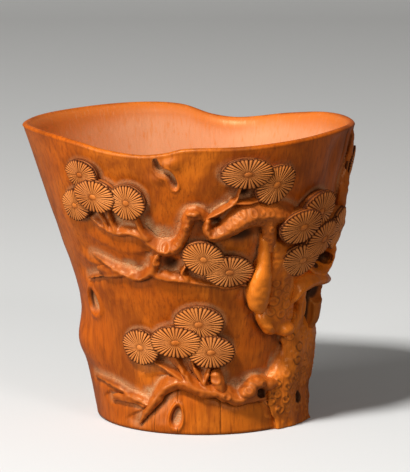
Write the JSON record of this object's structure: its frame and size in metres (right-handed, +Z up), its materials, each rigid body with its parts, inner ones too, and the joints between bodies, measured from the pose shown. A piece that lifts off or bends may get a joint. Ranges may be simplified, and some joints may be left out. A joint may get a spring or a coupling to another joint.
{
  "type": "carved cup",
  "caption": "Small flared wooden libation cup with a leaning, wavy rim and a pine tree carved round its outside in high relief; open bowl, flat foot.",
  "frame": {"origin": "centre of the flat foot's underside", "axes": "+Z up out of the bowl; -Y towards the pictured side; +X to the right in the picture, on the trunk's side"},
  "size_m": [0.1177, 0.1091, 0.1066],
  "materials": {
    "boxwood_wall": "polished, semi-gloss",
    "boxwood_limbs": "polished, semi-gloss",
    "boxwood_needles": "carved, satin"
  },
  "bodies": {
    "root": {"cup_wall": "boxwood_wall", "cut_stump": "boxwood_limbs", "left_branch": "boxwood_limbs", "lower_branch": "boxwood_limbs", "lower_left_branch": "boxwood_limbs", "middle_branch": "boxwood_limbs", "needle_fan_01": "boxwood_needles", "needle_fan_02": "boxwood_needles", "needle_fan_03": "boxwood_needles", "needle_fan_04": "boxwood_needles", "needle_fan_05": "boxwood_needles", "needle_fan_06": "boxwood_needles", "needle_fan_07": "boxwood_needles", "needle_fan_08": "boxwood_needles", "needle_fan_09": "boxwood_needles", "needle_fan_10": "boxwood_needles", "needle_fan_11": "boxwood_needles", "needle_fan_12": "boxwood_needles", "needle_fan_13": "boxwood_needles", "needle_fan_14": "boxwood_needles", "needle_fan_15": "boxwood_needles", "needle_fan_16": "boxwood_needles", "needle_fan_17": "boxwood_needles", "needle_fan_18": "boxwood_needles", "needle_fan_19": "boxwood_needles", "needle_fan_20": "boxwood_needles", "needle_fan_21": "boxwood_needles", "needle_fan_22": "boxwood_needles", "side_branch": "boxwood_limbs", "trunk_curl": "boxwood_limbs", "trunk_drip": "boxwood_limbs", "trunk_loop": "boxwood_limbs", "trunk_lower": "boxwood_limbs", "trunk_middle": "boxwood_limbs", "trunk_stub": "boxwood_limbs", "upper_branch": "boxwood_limbs", "upper_twig": "boxwood_limbs"}
  },
  "joints": []
}
